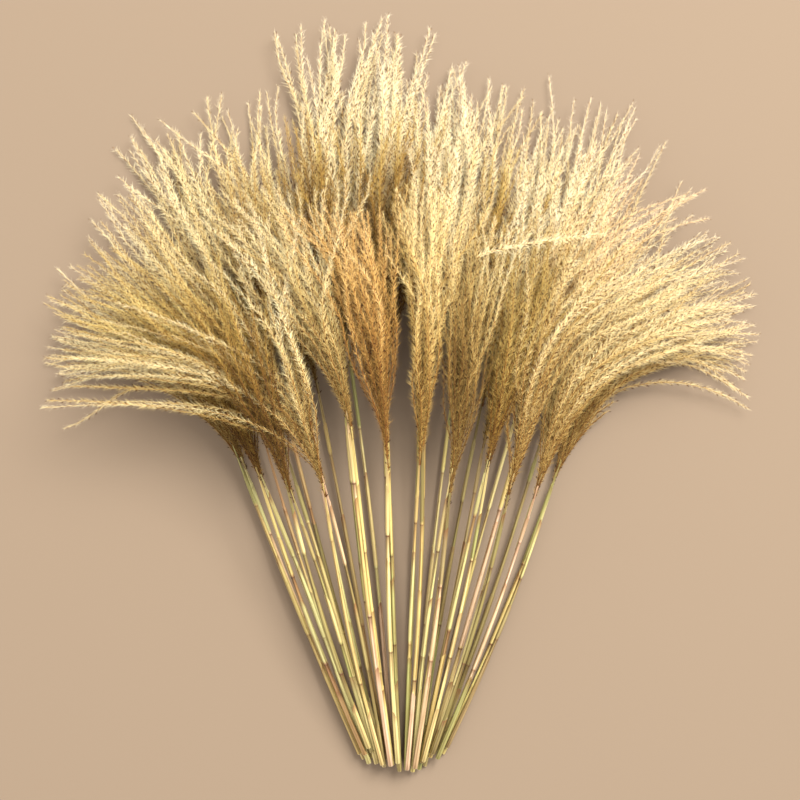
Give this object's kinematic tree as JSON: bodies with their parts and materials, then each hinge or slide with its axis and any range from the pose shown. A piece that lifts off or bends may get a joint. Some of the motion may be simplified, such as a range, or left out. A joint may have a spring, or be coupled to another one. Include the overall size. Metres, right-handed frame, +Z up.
{
  "type": "bunch of dried reed grass",
  "caption": "Loose fanned bunch of dried plumed reed grass with no vase, lying on its side: slim jointed stems gathered at the cut end, soft feathery seed plumes spread and drooping.",
  "frame": {"origin": "on the surface that the bunch lies on, under the middle of its outline", "axes": "+Y from the cut ends of the stems to the plumes, +Z up from the surface, +X to the right of the fan seen from above"},
  "size_m": [0.4937, 0.5337, 0.0756],
  "materials": {
    "stem": "smooth dry straw cane with a dull satin sheen",
    "plume": "matte, fine silky hairs on dry seed spikes"
  },
  "bodies": {
    "root": {"stem_01": "stem", "plume_01": "plume", "stem_02": "stem", "plume_02": "plume", "stem_03": "stem", "plume_03": "plume", "stem_04": "stem", "plume_04": "plume", "stem_05": "stem", "plume_05": "plume", "stem_06": "stem", "plume_06": "plume", "stem_07": "stem", "plume_07": "plume", "stem_08": "stem", "plume_08": "plume", "stem_09": "stem", "plume_09": "plume", "stem_10": "stem", "plume_10": "plume", "stem_11": "stem", "plume_11": "plume", "stem_12": "stem", "plume_12": "plume", "stem_13": "stem", "plume_13": "plume", "stem_14": "stem", "plume_14": "plume", "stem_15": "stem", "plume_15": "plume", "stem_16": "stem", "plume_16": "plume", "stem_17": "stem", "plume_17": "plume", "stem_18": "stem", "plume_18": "plume", "stem_19": "stem", "plume_19": "plume", "stem_20": "stem", "plume_20": "plume", "stem_21": "stem", "plume_21": "plume", "stem_22": "stem", "plume_22": "plume", "stem_23": "stem", "plume_23": "plume", "stem_24": "stem", "plume_24": "plume", "stem_25": "stem", "plume_25": "plume", "stem_26": "stem", "plume_26": "plume", "stem_27": "stem", "plume_27": "plume", "stem_28": "stem", "plume_28": "plume", "stem_29": "stem", "plume_29": "plume", "stem_30": "stem", "plume_30": "plume"}
  },
  "joints": []
}
